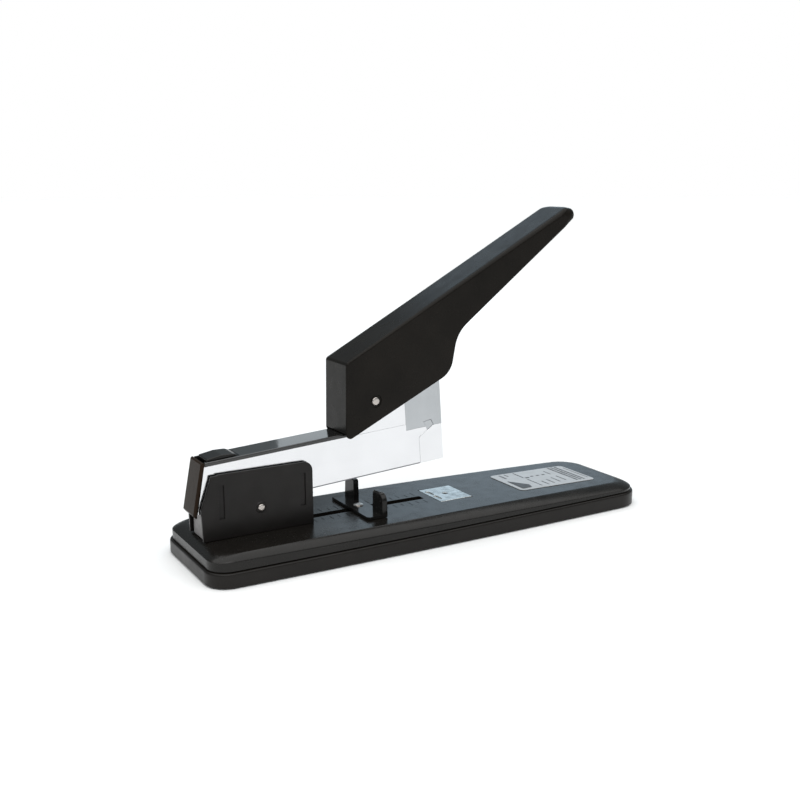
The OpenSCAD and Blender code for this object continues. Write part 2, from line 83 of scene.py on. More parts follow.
ALONG = -Vector(JOINTS["magazine_slide"]["axis"])
ACROSS = -Vector(JOINTS["driver_slide"]["axis"])
ROW = Matrix.Scale(MM, 4)
ARM = frame_at(JOINTS["arm_hinge"]["pos_m"], ALONG, ACROSS)
HANDLE_SLOPE = math.radians(28.5)
HANDLE = frame_at(JOINTS["handle_pivot"]["pos_m"], (math.cos(HANDLE_SLOPE), 0, math.sin(HANDLE_SLOPE)),
                  (-math.sin(HANDLE_SLOPE), 0, math.cos(HANDLE_SLOPE)))

HALF_LENGTH = size_of("base_tray")[1].x
TRAY_BOTTOM = size_of("base_tray")[0].z
ARM_HALF = size_of("arm_channel")[1].y
HANDLE_HALF = size_of("handle_shell")[1].y
HANDLE_SHEET = 1.2
STRIP_TOP = 29.0
HINGE_X = JOINTS["arm_hinge"]["pos_m"][0] / MM
HINGE_Z = JOINTS["arm_hinge"]["pos_m"][2] / MM

# ---------------------------------------------------------------- mesh helpers


def unit(v):
    return v / v.length


def round_path(points, steps=8):
    """Outline through points (x, y, corner radius), with the corners as arcs."""
    path = []
    for i, (x, y, radius) in enumerate(points):
        here = Vector((x, y))
        if radius == 0:
            path.append(here)
            continue
        before = unit(Vector(points[i - 1][:2]) - here)
        after = unit(Vector(points[(i + 1) % len(points)][:2]) - here)
        half = math.acos(max(-1, min(1, before.dot(after)))) / 2
        reach = radius / math.tan(half)
        middle = here + unit(before + after) * radius / math.sin(half)
        start = here + before * reach - middle
        end = here + after * reach - middle
        path += [middle + radius * unit(start.lerp(end, k / steps)) for k in range(steps + 1)]
    return path


def mesh_object(name, vertices, faces, place=ROW):
    mesh = bpy.data.meshes.new(name)
    mesh.from_pydata([place @ Vector(v) for v in vertices], [], faces)
    mesh.update()
    piece = bpy.data.objects.new(name, mesh)
    bpy.context.scene.collection.objects.link(piece)
    return piece


def tube_faces(rings, count):
    """Quads between neighbouring rings of the same count."""
    faces = []
    for j in range(rings - 1):
        for i in range(count):
            k = (i + 1) % count
            faces.append([j * count + i, j * count + k, (j + 1) * count + k, (j + 1) * count + i])
    return faces


def circle(radius, k, sides):
    """Point k of a circle with this many sides."""
    turn = math.tau * k / sides
    return radius * math.cos(turn), radius * math.sin(turn)


def edit(piece, change):
    """Runs change(bm) on the piece's mesh, in metres."""
    bm = bmesh.new()
    bm.from_mesh(piece.data)
    change(bm)
    bmesh.ops.recalc_face_normals(bm, faces=bm.faces)
    bm.to_mesh(piece.data)
    bm.free()
    return piece


def settle(piece):
    """Applies the piece's modifiers."""
    mesh = bpy.data.meshes.new_from_object(piece.evaluated_get(bpy.context.evaluated_depsgraph_get()))
    piece.modifiers.clear()
    piece.data = mesh
    return piece


def drop(piece):
    bpy.data.objects.remove(piece, do_unlink=True)


def combine(piece, others, operation):
    for other in others:
        change = piece.modifiers.new("combine", "BOOLEAN")
        change.operation = operation
        change.solver = "EXACT"
        change.object = other
    settle(piece)
    for other in others:
        drop(other)
    return piece


def cut(piece, *cutters):
    return combine(piece, cutters, "DIFFERENCE")


def join(piece, *others):
    return combine(piece, others, "UNION")


def gather(name, pieces):
    """One object that holds several meshes side by side."""
    bm = bmesh.new()
    for piece in pieces:
        bm.from_mesh(piece.data)
        drop(piece)
    mesh = bpy.data.meshes.new(name)
    bm.to_mesh(mesh)
    bm.free()
    whole = bpy.data.objects.new(name, mesh)
    bpy.context.scene.collection.objects.link(whole)
    return whole


def soften(piece, width, segments=2, angle=35):
    """Rounds every edge sharper than angle."""
    change = piece.modifiers.new("soften", "BEVEL")
    change.width = width * MM
    change.segments = segments
    change.limit_method = "ANGLE"
    change.angle_limit = math.radians(angle)
    change.use_clamp_overlap = True
    change.miter_outer = "MITER_ARC"
    return settle(piece)


def shade(piece, angle=35):
    mesh = piece.data
    mesh.polygons.foreach_set("use_smooth", [True] * len(mesh.polygons))
    mesh.set_sharp_from_angle(angle=math.radians(angle))
    mesh.update()
    return piece


def rim_inset(radius, depth):
    """How far a rim of this radius stands in at this depth below the plate's face."""
    if radius <= depth:
        return 0
    return radius * (1 - math.sqrt(1 - (1 - depth / radius) ** 2))


def inset(outline, distance):
    """The outline moved inwards by distance(point)."""
    n = len(outline)
    area = sum(a.x * b.y - b.x * a.y for a, b in zip(outline, outline[1:] + outline[:1]))
    turn = 1 if area > 0 else -1
    ring = []
    for i, point in enumerate(outline):
        before = unit(point - outline[i - 1])
        after = unit(outline[(i + 1) % n] - point)
        inward = Vector((-before.y - after.y, before.x + after.x)) * turn
        ring.append(point + inward * distance(point) / max(0.3, inward.dot(inward) / 2))
    return ring


def plate(name, outline, y0, y1, place=ROW, rounded=None, radius=1.0, steps=4):
    """Solid with an outline in XZ, from y0 to y1. Its rims have the radius times rounded(x, z)."""
    outline = [Vector(p) for p in outline]
    levels = [(y0, outline), (y1, outline)]
    if rounded:
        depths = [radius * (1 - math.sin(math.pi / 2 * k / steps)) for k in range(steps + 1)]
        rims = [(d, inset(outline, lambda p: rim_inset(radius * rounded(p.x, p.y), d))) for d in depths]
        low = [(y0 + depth, ring) for depth, ring in reversed(rims)]
        high = [(y1 - depth, ring) for depth, ring in rims]
        levels = low + high
    n = len(outline)
    vertices = [(p.x, y, p.y) for y, ring in levels for p in ring]
    faces = tube_faces(len(levels), n)
    faces += [list(range(n)), list(range(len(vertices) - 1, len(vertices) - n - 1, -1))]
    piece = mesh_object(name, vertices, faces, Matrix.Identity(4))

    def weld(bm):
        bmesh.ops.remove_doubles(bm, verts=bm.verts, dist=1e-4)
        bmesh.ops.dissolve_degenerate(bm, edges=bm.edges, dist=1e-4)
    edit(piece, weld)
    piece.data.transform(place)
    return piece


def block(name, x0, x1, y0, y1, z0, z1, place=ROW):
    return plate(name, [(x0, z0), (x1, z0), (x1, z1), (x0, z1)], y0, y1, place)


def lathe(name, profile, place, sides=48):
    """Turned solid round the local Z axis through profile points (radius, z), closed at the axis."""
    vertices = []
    faces = []
    rings = []
    for radius, z in profile:
        if radius < 1e-6:
            rings.append([len(vertices)])
            vertices.append((0, 0, z))
        else:
            rings.append(list(range(len(vertices), len(vertices) + sides)))
            vertices += [(*circle(radius, k, sides), z) for k in range(sides)]
    for low, high in zip(rings, rings[1:]):
        for k in range(sides):
            a = low[k % len(low)]
            b = low[(k + 1) % sides % len(low)]
            c = high[(k + 1) % sides % len(high)]
            d = high[k % len(high)]
            faces.append(list(dict.fromkeys((a, b, c, d))))
    piece = mesh_object(name, vertices, faces, Matrix.Identity(4))
    edit(piece, lambda bm: None)
    piece.data.transform(place)
    return piece


def dome(radius, height, z, steps=5):
    """Profile points of a shallow dome on top of z, from its rim to the axis."""
    return [(radius * math.cos(a), z + height * math.sin(a))
            for a in (math.pi / 2 * k / steps for k in range(steps + 1))]


def turned(place, origin, direction):
    """Frame with its Z along direction at origin, both in place's frame."""
    quaternion = Vector(direction).to_track_quat("Z", "Y")
    return place @ Matrix.Translation(Vector(origin)) @ quaternion.to_matrix().to_4x4()


def rod(name, place, origin, direction, radius, length, sides=48):
    profile = [(0, 0), (radius, 0), (radius, length), (0, length)]
    return lathe(name, profile, turned(place, origin, direction), sides)


def wire(name, path, radius, place, sides=10):
    """Round wire along a path, with flat ends."""
    points = [Vector(p) for p in path]
    vertices = []
    last = None
    for i, point in enumerate(points):
        ahead = points[min(i + 1, len(points) - 1)] - points[max(i - 1, 0)]
        ahead.normalize()
        if last is None:
            side = ahead.orthogonal().normalized()
        else:
            side = (last - ahead * last.dot(ahead)).normalized()
        last = side
        up = ahead.cross(side)
        for k in range(sides):
            across, along = circle(radius, k, sides)
            vertices.append(point + side * across + up * along)
    n = len(points)
    faces = tube_faces(n, sides)
    faces += [list(range(sides))[::-1], list(range((n - 1) * sides, n * sides))]
    piece = mesh_object(name, vertices, faces, Matrix.Identity(4))
    edit(piece, lambda bm: None)
    piece.data.transform(place)
    return piece


def helix(radius, turns, length, turn0=0.0, per_turn=24):
    n = round(turns * per_turn)
    path = []
    for i in range(n + 1):
        turn = turn0 + math.tau * turns * i / n
        path.append((radius * math.cos(turn), radius * math.sin(turn), length * i / n))
    return path


# ---------------------------------------------------------------- materials


def material(name, colour, rough, metallic=0.0, coat=0.0, grain=0.0, grain_size=0.4, swing=0.06,
             mottle=0.15, mottle_size=18.0, stretch=(1, 1, 1), wave=0.0, wave_size=12.0, scratches=0.0,
             shine=0.5, ior=1.5):
    """Surface with mottled colour and roughness, a fine grain, a slow waviness and hairline scratches.

    grain and wave are bump strengths, sizes are in millimetres, swing is how far the roughness varies,
    and stretch draws the grain out along an axis.
    """
    made = bpy.data.materials.new(name)
    made.use_nodes = True
    nodes = made.node_tree.nodes
    links = made.node_tree.links
    surface = nodes["Principled BSDF"]
    surface.inputs["Metallic"].default_value = metallic
    surface.inputs["IOR"].default_value = ior
    surface.inputs["Specular IOR Level"].default_value = shine
    surface.inputs["Coat Weight"].default_value = coat
    surface.inputs["Coat Roughness"].default_value = 0.12
    where = nodes.new("ShaderNodeTexCoord")

    def noise(size, detail, scale=(1, 1, 1)):
        mapping = nodes.new("ShaderNodeMapping")
        mapping.inputs["Scale"].default_value = scale
        links.new(where.outputs["Object"], mapping.inputs["Vector"])
        texture = nodes.new("ShaderNodeTexNoise")
        texture.inputs["Scale"].default_value = 1 / (size * MM)
        texture.inputs["Detail"].default_value = detail
        links.new(mapping.outputs["Vector"], texture.inputs["Vector"])
        return texture.outputs["Fac"]

    def spread(value, low, high, start=0.3, end=0.7):
        remap = nodes.new("ShaderNodeMapRange")
        remap.inputs["From Min"].default_value = start
        remap.inputs["From Max"].default_value = end
        remap.inputs["To Min"].default_value = low
        remap.inputs["To Max"].default_value = high
        links.new(value, remap.inputs["Value"])
        return remap.outputs["Result"]

    blotches = noise(mottle_size, 4)
    ramp = nodes.new("ShaderNodeValToRGB")
    ramp.color_ramp.elements[0].position = 0.3
    ramp.color_ramp.elements[1].position = 0.7
    ramp.color_ramp.elements[0].color = (*[c * (1 - mottle) for c in colour], 1)
    ramp.color_ramp.elements[1].color = (*[min(1, c * (1 + mottle)) for c in colour], 1)
    links.new(blotches, ramp.inputs["Fac"])
    tone = ramp.outputs["Color"]
    smear = noise(mottle_size * 0.4, 6, stretch)
    links.new(spread(smear, max(0.02, rough - swing), rough + swing), surface.inputs["Roughness"])
    if scratches:
        hairlines = spread(noise(0.35, 2, (0.05, 1, 1)), 0, scratches, 0.66, 0.74)
        mix = nodes.new("ShaderNodeMix")
        mix.data_type = "RGBA"
        links.new(hairlines, mix.inputs["Factor"])
        links.new(tone, mix.inputs["A"])
        mix.inputs["B"].default_value = (*[min(1, c * 3 + 0.04) for c in colour], 1)
        tone = mix.outputs["Result"]
    links.new(tone, surface.inputs["Base Color"])
    normal = None
    fine = (grain, noise(grain_size, 3, stretch), 0.02)
    slow = (wave, noise(wave_size, 1), 0.2)
    for strength, texture, depth in (fine, slow):
        if strength:
            bump = nodes.new("ShaderNodeBump")
            bump.inputs["Strength"].default_value = strength
            bump.inputs["Distance"].default_value = depth * MM
            links.new(texture, bump.inputs["Height"])
            if normal:
                links.new(normal, bump.inputs["Normal"])
            normal = bump.outputs["Normal"]
    if normal:
        links.new(normal, surface.inputs["Normal"])
    return made


BASE_PLASTIC = material("base plastic", (0.0075, 0.0065, 0.0055), 0.25, grain=0.3, grain_size=0.5,
                        swing=0.05, mottle=0.2, wave=0.15, wave_size=30, shine=0.27)
TRAY_PLASTIC = material("tray plastic", (0.0085, 0.007, 0.0058), 0.34, grain=0.5, grain_size=0.5,
                        mottle=0.2, shine=0.22)
GLOSS_PLASTIC = material("gloss plastic", (0.009, 0.0085, 0.008), 0.16, coat=0.05, grain=0.15,
                         grain_size=0.8, swing=0.04, wave=0.15, wave_size=8, shine=0.2)
STRIP_PLASTIC = material("strip plastic", (0.009, 0.0085, 0.008), 0.1, coat=0.5, grain=0.15,
                         grain_size=0.8, swing=0.04, wave=0.15, wave_size=8, shine=0.5)
CAP_PLASTIC = material("end cap plastic", (0.02, 0.0125, 0.008), 0.22, grain=0.2, grain_size=0.6,
                       swing=0.04, wave=0.2, wave_size=6, shine=0.12, ior=1.25)
BLACK_STEEL = material("black painted steel", (0.0075, 0.0062, 0.0056), 0.36, grain=0.6, grain_size=0.7,
                       swing=0.07, mottle=0.25, shine=0.25)
HANDLE_PAINT = material("handle paint", (0.0085, 0.007, 0.0055), 0.3, grain=0.4, grain_size=0.9,
                        swing=0.06, mottle=0.2, wave=0.2, wave_size=25, shine=0.16, ior=1.38)
CHROME = material("chrome", (0.77, 0.77, 0.785), 0.17, metallic=1, grain=0.25, grain_size=0.3,
                  swing=0.05, mottle=0.03, stretch=(0.06, 1, 1), wave=0.5, wave_size=9, scratches=0.08)
HEAD_CHROME = material("head chrome", (0.45, 0.465, 0.48), 0.22, metallic=1, grain=0.3, grain_size=0.3,
                       swing=0.05, mottle=0.05, stretch=(1, 1, 0.06), wave=0.5, wave_size=7,
                       scratches=0.1)
NICKEL = material("rivet nickel", (0.5, 0.46, 0.43), 0.3, metallic=1, grain=0.4, grain_size=0.25,
                  mottle=0.12, mottle_size=2)
ZINC = material("zinc plated steel", (0.6, 0.62, 0.64), 0.32, metallic=1, grain=0.4, grain_size=0.4,
                mottle=0.1)
ANVIL_ZINC = material("anvil zinc", (0.5, 0.51, 0.5), 0.27, metallic=1, grain=0.4, grain_size=0.35,
                      mottle=0.35, mottle_size=3, wave=0.8, wave_size=5, scratches=0.15)
DARK_STEEL = material("oiled steel", (0.2, 0.2, 0.21), 0.4, metallic=1, grain=0.5, grain_size=0.5,
                      mottle=0.2)
GREY_STEEL = material("grey web", (0.16, 0.15, 0.148), 0.4, metallic=0.6, grain=0.4, grain_size=0.5,
                      mottle=0.15, mottle_size=4)
SPRING_STEEL = material("spring wire", (0.42, 0.43, 0.45), 0.28, metallic=1, grain=0.3, grain_size=0.2)
STAPLE_WIRE = material("staple wire", (0.72, 0.66, 0.55), 0.27, metallic=1, grain=0.3, grain_size=0.2)
BRASS = material("brass", (0.66, 0.48, 0.22), 0.32, metallic=1, grain=0.4, grain_size=0.3)
LABEL_FOIL = material("label foil", (0.42, 0.43, 0.44), 0.42, metallic=0.15, grain=0.25, grain_size=0.3,
                      mottle=0.05, mottle_size=8)
LABEL_INK = material("label ink", (0.05, 0.052, 0.056), 0.5, grain=0.2, grain_size=0.3, mottle=0.2,
                     mottle_size=3)
RUBBER = material("rubber", (0.018, 0.018, 0.018), 0.75, grain=0.8, grain_size=0.5)

# ---------------------------------------------------------------- dressing pieces and CAD nodes


def dress(piece, finish, angle=35):
    piece.data.materials.clear()
    piece.data.materials.append(finish)
    shade(piece, angle)
    even = piece.modifiers.new("even", "WEIGHTED_NORMAL")
    even.keep_sharp = True
    return piece


def stand_for(piece, node, body, finish, angle=35):
    """A detailed piece in place of a CAD node."""
    dress(piece, finish, angle)
    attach(piece, body)
    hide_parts(node)
    return piece


def add_detail(piece, body, finish, angle=35):
    """A piece that no CAD node holds."""
    dress(piece, finish, angle)
    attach(piece, body)
    return piece


def finish_node(node, finish, bevel=0.0, angle=30):
    """Keeps a CAD node's mesh, gives it a material and, by modifiers, rounded edges."""
    part = frame["nodes"][node]
    if not part.material_slots:
        part.data.materials.append(finish)
    for holder in part.material_slots:
        holder.material = finish
    weld = part.modifiers.new("weld", "WELD")
    weld.merge_threshold = 0.002 * MM
    if bevel:
        flat = part.modifiers.new("flat", "DECIMATE")
        flat.decimate_type = "DISSOLVE"
        flat.angle_limit = math.radians(0.5)
        edge = part.modifiers.new("edge", "BEVEL")
        edge.width = bevel * MM
        edge.segments = 3
        edge.limit_method = "ANGLE"
        edge.angle_limit = math.radians(angle)
        edge.use_clamp_overlap = True
        edge.harden_normals = True
    return part


# ---------------------------------------------------------------- base

REAR_RADIUS = 12.5
FRONT_RADIUS = 17
BOW = 1.8
TAPER = 0.3
END_HALF = 37.29
COVER_INSET = 1.5
RIM_GAP = 0.3
TOP_END = HALF_LENGTH - 8.5
RIM_MEAN = 8.65
RIM_RISE = 0.9
RIM_ROUND = 1.3
COVER_REAR = 16.5
COVER_FRONT = 13.65
COVER_CROWN = 1.33


def top_z(x):
    return COVER_REAR + (COVER_FRONT - COVER_REAR) * (x + HALF_LENGTH) / (2 * HALF_LENGTH) \
        + COVER_CROWN * (1 - (x / HALF_LENGTH) ** 2)


def rim_z(x):
    return RIM_MEAN + RIM_RISE * x / (2 * HALF_LENGTH)


def side_y(x):
    return END_HALF + BOW * (1 - (x / HALF_LENGTH) ** 2) - TAPER * x / HALF_LENGTH


def shoulder_z(x):
    """Top of the cover's upright side."""
    return 12.1 - 1.3 * x / HALF_LENGTH


def flat_y(x):
    """Half width of the flat top."""
    k = x / 132
    return 31.6 - 3.05 * k - 1.95 * k * k


def plan_ring(end, width, rear, front, arc=12, side=40, across=12):
    """Closed outline in plan with corner radii at the rear and the front. Every ring has the same count."""
    centres = {1: end - front, -1: rear - end}
    radii = {1: front, -1: rear}
    ring = []
    for sign, first in ((1, -90), (-1, 90)):
        cx = centres[sign]
        cy = width(cx) - radii[sign]
        for a, way in ((first, -sign), (first + 90, sign)):
            centre = Vector((cx, way * cy))
            for k in range(arc + 1):
                turn = math.radians(a + 90 * k / arc)
                ring.append(centre + radii[sign] * Vector((math.cos(turn), math.sin(turn))))
            if way == -sign:
                ring += [Vector((sign * end, way * cy * (1 - 2 * k / across))) for k in range(1, across)]
        for k in range(1, side):
            x = cx + (centres[-sign] - cx) * k / side
            ring.append(Vector((x, sign * width(x))))
    return ring


def side_ring(inset):
    return plan_ring(HALF_LENGTH - inset, lambda x: side_y(x) - inset, REAR_RADIUS - inset,
                     FRONT_RADIUS - inset)


def top_ring(inset=0.0):
    return plan_ring(TOP_END - inset, lambda x: flat_y(x) - inset, 11 - inset, 13 - inset)


def loft(name, levels):
    """Closed solid through rings of the same count. A level is (ring, height function of x)."""
    count = len(levels[0][0])
    vertices = [(p.x, p.y, height(p.x)) for ring, height in levels for p in ring]
    faces = tube_faces(len(levels), count)

    def lid(level):
        """Strips across the ring between its near and far points at the same x."""
        ring = levels[level][0]
        at = {}
        for i, p in enumerate(ring):
            at.setdefault(round(p.x, 3), []).append((p.y, level * count + i))
        columns = [[index for _, index in sorted(at[x])] for x in sorted(at)]
        strips = []
        for left, right in zip(columns, columns[1:]):
            low = left if len(left) > 2 else [left[0], left[-1]]
            high = right if len(right) > 2 else [right[0], right[-1]]
            strips.append(low + high[::-1])
        return strips

    faces += lid(0) + lid(len(levels) - 1)
    piece = mesh_object(name, vertices, faces, Matrix.Identity(4))
    edit(piece, lambda bm: None)
    piece.data.transform(ROW)
    return piece


def blend_ring(outer, inner, k):
    return [a.lerp(b, k) for a, b in zip(outer, inner)]


def at_height(z):
    return lambda x: z


def cover_levels(inset, lowered, squareness):
    """Rings of the cover's skin from the top of its upright side to the flat top."""
    outer = side_ring(COVER_INSET + inset)
    inner = top_ring(inset)
    levels = []
    for k in range(11):
        a = math.pi / 2 * k / 10
        across = 1 - math.cos(a) ** squareness
        up = math.sin(a) ** squareness

        def height(x, up=up):
            return shoulder_z(x) + (top_z(x) - shoulder_z(x)) * up - lowered
        levels.append((blend_ring(outer, inner, across), height))
    return levels


SLOT_HALF = 2.8
SLOT_REAR = -76
SLOT_FRONT = 2
ANVIL_LOW, ANVIL_HIGH = size_of("anvil_plate")
SCREWS = [(x, y) for x in (-104, 104) for y in (-25, 25)]
FEET = [(x, y) for x in (-121, 121) for y in (-24, 24)]
TICKS = [-70 + 5 * k for k in range(15)]
BRACKET_RIVETS = (-121, -84)


def make_cover():
    lip = [(side_ring(3.2), at_height(7.8)), (side_ring(3.2), lambda x: rim_z(x) + RIM_GAP + 0.1),
           (side_ring(COVER_INSET + 0.25), lambda x: rim_z(x) + RIM_GAP),
           (side_ring(COVER_INSET), lambda x: rim_z(x) + RIM_GAP + 0.25)]
    cover = loft("cover_shell", lip + cover_levels(0, 0, 1.45))
    hollow = loft("hollow", [(side_ring(5), at_height(7))] + cover_levels(2.4, 2.3, 1.3))
    cut(cover, hollow)
    slot = plate("slot", round_path([(SLOT_REAR, -SLOT_HALF, 0), (SLOT_FRONT, -SLOT_HALF, 0.8),
                                     (SLOT_FRONT, SLOT_HALF, 0.8), (SLOT_REAR, SLOT_HALF, 0)]), 5, 25)
    slot.data.transform(Matrix.Rotation(math.radians(90), 4, "X"))
    well = block("well", ANVIL_LOW.x - 0.5, ANVIL_HIGH.x + 0.5, ANVIL_LOW.y - 0.5, ANVIL_HIGH.y + 0.5,
                 ANVIL_LOW.z, 25)
    cutters = [slot, well]
    for x in TICKS:
        for way in (-1, 1):
            ends = sorted((way * 4.6, way * (10.4 if x % 10 == 0 else 8.4)))
            cutters.append(block("tick", x - 0.22, x + 0.22, *ends, top_z(x) - 0.25, 25))
    return cut(cover, *cutters)


def make_tray():
    levels = [(side_ring(inset), at_height(TRAY_BOTTOM + up))
              for inset, up in ((0.7, 0), (0.3, 0.1), (0.1, 0.35), (0.03, 0.8))]
    levels += [(side_ring(0), lambda x: rim_z(x) - RIM_ROUND)]
    for k in range(1, 6):
        a = math.pi / 2 * k / 5
        ring = side_ring(0.9 * (1 - math.cos(a)))
        levels.append((ring, lambda x, a=a: rim_z(x) - RIM_ROUND + RIM_ROUND * math.sin(a)))
    levels += [(side_ring(2.2), rim_z), (side_ring(2.5), lambda x: rim_z(x) - 0.3)]
    levels += [(side_ring(2.5), at_height(2.4))]
    tray = loft("tray_shell", levels)
    cutters = [rod("foot_seat", ROW, (x, y, -1), (0, 0, 1), 6.5, 2.6) for x, y in FEET]
    cutters += [rod("screw_seat", ROW, (x, y, -1), (0, 0, 1), 3.2, 3) for x, y in SCREWS]
    cutters += [rod("screw_bore", ROW, (x, y, 1), (0, 0, 1), 1.7, 6) for x, y in SCREWS]
    return cut(tray, *cutters)


def make_label_print():
    """Generic print: rows of dashes, a few marks and a wedge, with no lettering."""
    rng = random.Random(7)
    marks = []

    def mark(x0, x1, y0, y1):
        low = top_z((x0 + x1) / 2) + 0.2
        marks.append(block("mark", x0, x1, y0, y1, low, low + 0.13))

    def row(x, y0, y1, height, most):
        y = y0
        while y < y1:
            length = rng.uniform(0.35, most)
            mark(x - height / 2, x + height / 2, y, min(y + length, y1))
            y += length + rng.uniform(0.25, 0.5)

    for x in (106.4, 109.1, 111.8):
        row(x, -14, 16, 1.5, 2.2)
    row(116, -12, 12, 0.8, 1.3)
    for x in (84.4, 89.4, 94.6, 99.8):
        row(x, -14 + (x - 84) * 0.2, -6.6 + (x - 84) * 0.35, 1.0, 1.6)
    row(79, -14, 0.8, 1.0, 1.8)
    for x in (85.5, 90.1, 94.3):
        mark(x - 1.1, x + 1.1, 4.4, 5.8)
    row(99.3, 3.8, 10.9, 0.9, 2.2)
    row(78.8, 5, 16.2, 1.0, 2.6)
    mark(79.6, 82.4, 2.8, 4.6)
    row(67.7, 7.5, 15.3, 1.4, 2.4)
    row(71.8, 11, 15.8, 0.9, 1.6)
    wedge = round_path([(64.6, 2.6, 0.3), (72.6, -9.5, 1.2), (71.4, -14, 1.2), (64.2, -14.8, 1.0)])
    ink = plate("wedge", [Vector((p.x, -p.y)) for p in wedge], 0, 0.13)
    ink.data.transform(Matrix.Rotation(math.radians(90), 4, "X"))
    ink.data.transform(Matrix.Translation((0, 0, (top_z(68) + 0.39) * MM)))
    return gather("label_print", marks + [ink])


def make_feet():
    profile = [(0, 0), (5.2, 0), (5.9, 0.15), (6.35, 0.6), (6.4, 1.0), (6.4, 1.6), (0, 1.6)]
    return gather("foot_pads", [lathe("pad", profile, turned(ROW, (x, y, 0), (0, 0, 1))) for x, y in FEET])


def make_screws():
    screws = []
    for x, y in SCREWS:
        place = turned(ROW, (x, y, 2), (0, 0, -1))
        screw = lathe("screw", [(0, -7.4), (1.3, -7.4), (1.6, -7), (1.6, -0.1), (2.9, -0.1), (2.9, 0.4)]
                      + dome(2.9, 0.6, 0.45), place)
        for turn in (0, 90):
            spin = Matrix.Rotation(math.radians(turn), 4, "Z")
            cross = block("cross", -1.9, 1.9, -0.3, 0.3, 0.35, 3, place @ spin)
            cut(screw, cross)
        screws.append(screw)
    return gather("screw_heads", screws)


stand_for(make_cover(), "base_cover", "root", BASE_PLASTIC, 28)
stand_for(make_tray(), "base_tray", "root", TRAY_PLASTIC, 32)
stand_for(make_feet(), "rubber_feet", "root", RUBBER)
stand_for(make_screws(), "base_screws", "root", ZINC)
add_detail(make_label_print(), "root", LABEL_INK)
finish_node("instruction_label", LABEL_FOIL)
finish_node("anvil_plate", ANVIL_ZINC, 0.25)
finish_node("anvil_rivet", DARK_STEEL)
finish_node("base_plate", DARK_STEEL)

# ---------------------------------------------------------------- hinge bracket

BRACKET_HALF = 10.8
BRACKET_INNER = 9.3
FOOT_Z = size_of("hinge_bracket")[0].z
BRACKET_OUTLINE = [(-134.2, FOOT_Z, 0), (-134.8, 33.8, 3), (-129.5, 48.8, 2.5), (-129.1, 50.9, 1),
                   (-126, 50.9, 0.6), (-125.2, 51.4, 0.6), (-72.3, 51.4, 5), (-72.3, FOOT_Z, 0)]
RIB_SPOTS = (-123.8, -78.2)


def rib_outline(x, wider):
    """Outline of a pressed-in rib, widened all round."""
    half = 1.6 + wider
    return round_path([(x - half, 27.7 - wider, 0.7 + wider), (x + half, 27.7 - wider, 0.7 + wider),
                       (x + half, 45.6 + wider, 0.7 + wider), (x - half, 45.6 + wider, 0.7 + wider)])


def make_bracket():
    outline = round_path(BRACKET_OUTLINE)
    bracket = plate("bracket_cheeks", outline, -BRACKET_HALF, BRACKET_HALF, ROW,
                    lambda x, z: z > FOOT_Z + 1, 0.45, 3)
    gap = block("gap", -140, -60, -BRACKET_INNER, BRACKET_INNER, FOOT_Z + 1.5, 70)
    front = block("front", -140, -130, -BRACKET_INNER, BRACKET_INNER, FOOT_Z - 2, 70)
    cut(bracket, gap, front)
    bulges = []
    hollows = []
    for way in (-1, 1):
        for x in RIB_SPOTS:
            ends = sorted((way * (BRACKET_INNER - 0.6), way * (BRACKET_INNER + 0.1)))
            bulges.append(plate("bulge", rib_outline(x, 0.6), *ends))
            ends = sorted((way * (BRACKET_HALF - 0.8), way * (BRACKET_HALF + 1)))
            hollows.append(plate("hollow", rib_outline(x, 0), *ends))
        profile = [(0, -0.5), (3.1, -0.5), (3.1, 0), (2.75, 0.3), (2.3, 0.35), (2.1, 0.1), (0, 0.1)]
        place = turned(ROW, (HINGE_X, way * BRACKET_HALF, HINGE_Z), (0, way, 0))
        bulges.append(lathe("ring", profile, place))
    join(bracket, *bulges)
    cut(bracket, *hollows)
    return soften(bracket, 0.2, 2, 50)


def make_rivets(name, spots, place, radius, stem, low, high, height):
    """Rivets along the local Z: a stem from low to high, then a domed head."""
    made = []
    for x, y in spots:
        profile = [(0, low), (stem, low), (stem, high), (radius - 0.15, high), (radius, high + 0.15),
                   (radius, high + 0.3)] + dome(radius, height - 0.3, high + 0.3)
        made.append(lathe("rivet", profile, turned(place, (x, y, 0), (0, 0, 1))))
    return gather(name, made)


def make_cross_pin(name, place, origin, radius, half, proud):
    """Pin along Y with a chamfered head on each end."""
    reach = half + proud
    head = [(radius - 0.1, reach - 0.25), (radius - 0.35, reach - 0.08), (radius * 0.55, reach), (0, reach)]
    tail = [(r, -y) for r, y in reversed(head)]
    profile = tail + [(radius, -half + 0.1), (radius, half - 0.1)] + head
    return lathe(name, profile, turned(place, origin, (0, 1, 0)))


def make_lift_spring():
    radius, half = 4.1, 3.5
    first, last = math.radians(40), math.radians(330)
    turns = 5 + (last - first) / math.tau
    start = Vector((radius * math.cos(first), radius * math.sin(first), 0))
    end = Vector((radius * math.cos(last), radius * math.sin(last), 2 * half))
    legs = [start + 22.5 * k * Vector((math.sin(first), -math.cos(first), 0)) for k in (1, 0.5)]
    tail = [end + 15.6 * k * Vector((-math.sin(last), math.cos(last), 0)) for k in (0.5, 1)]
    path = legs + [Vector(p) for p in helix(radius, turns, 2 * half, first)] + tail
    place = ROW @ Matrix.Translation((HINGE_X, -half, HINGE_Z)) @ Matrix.Rotation(math.radians(-90), 4, "X")
    return wire("lift_coil", path, 0.5, place)


